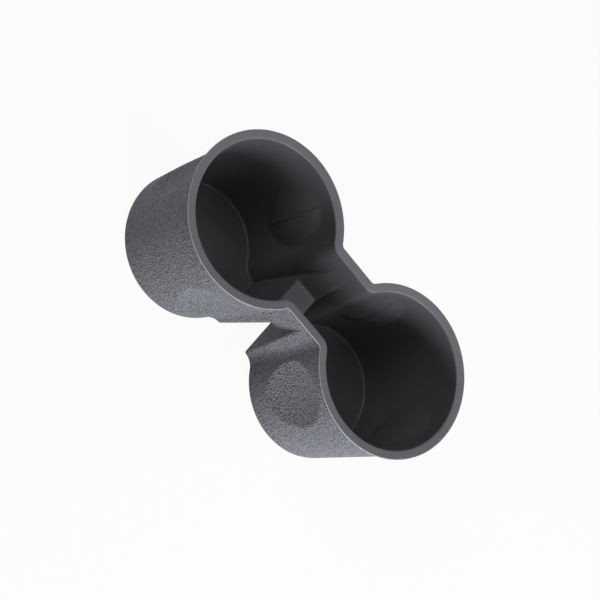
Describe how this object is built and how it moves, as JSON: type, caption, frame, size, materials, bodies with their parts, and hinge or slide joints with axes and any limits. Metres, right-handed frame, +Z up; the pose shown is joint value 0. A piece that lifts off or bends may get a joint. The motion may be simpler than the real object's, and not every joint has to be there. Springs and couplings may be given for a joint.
{
  "type": "cup holder expander",
  "caption": "Twin cup holder insert: two tapered round pockets with grip bulges, joined by a slotted neck, moulded in one piece of soft dark grey rubber.",
  "frame": {"origin": "in the plane of the two feet, under the middle of the neck", "axes": "+X along the row of pockets, +Y across it, +Z up to the open rims"},
  "size_m": [0.188, 0.088, 0.0764],
  "materials": {
    "tpe": "moulded thermoplastic rubber, fine leather-like grain outside, smooth matte rim and inside"
  },
  "bodies": {
    "root": {"insert": "tpe"}
  },
  "joints": []
}
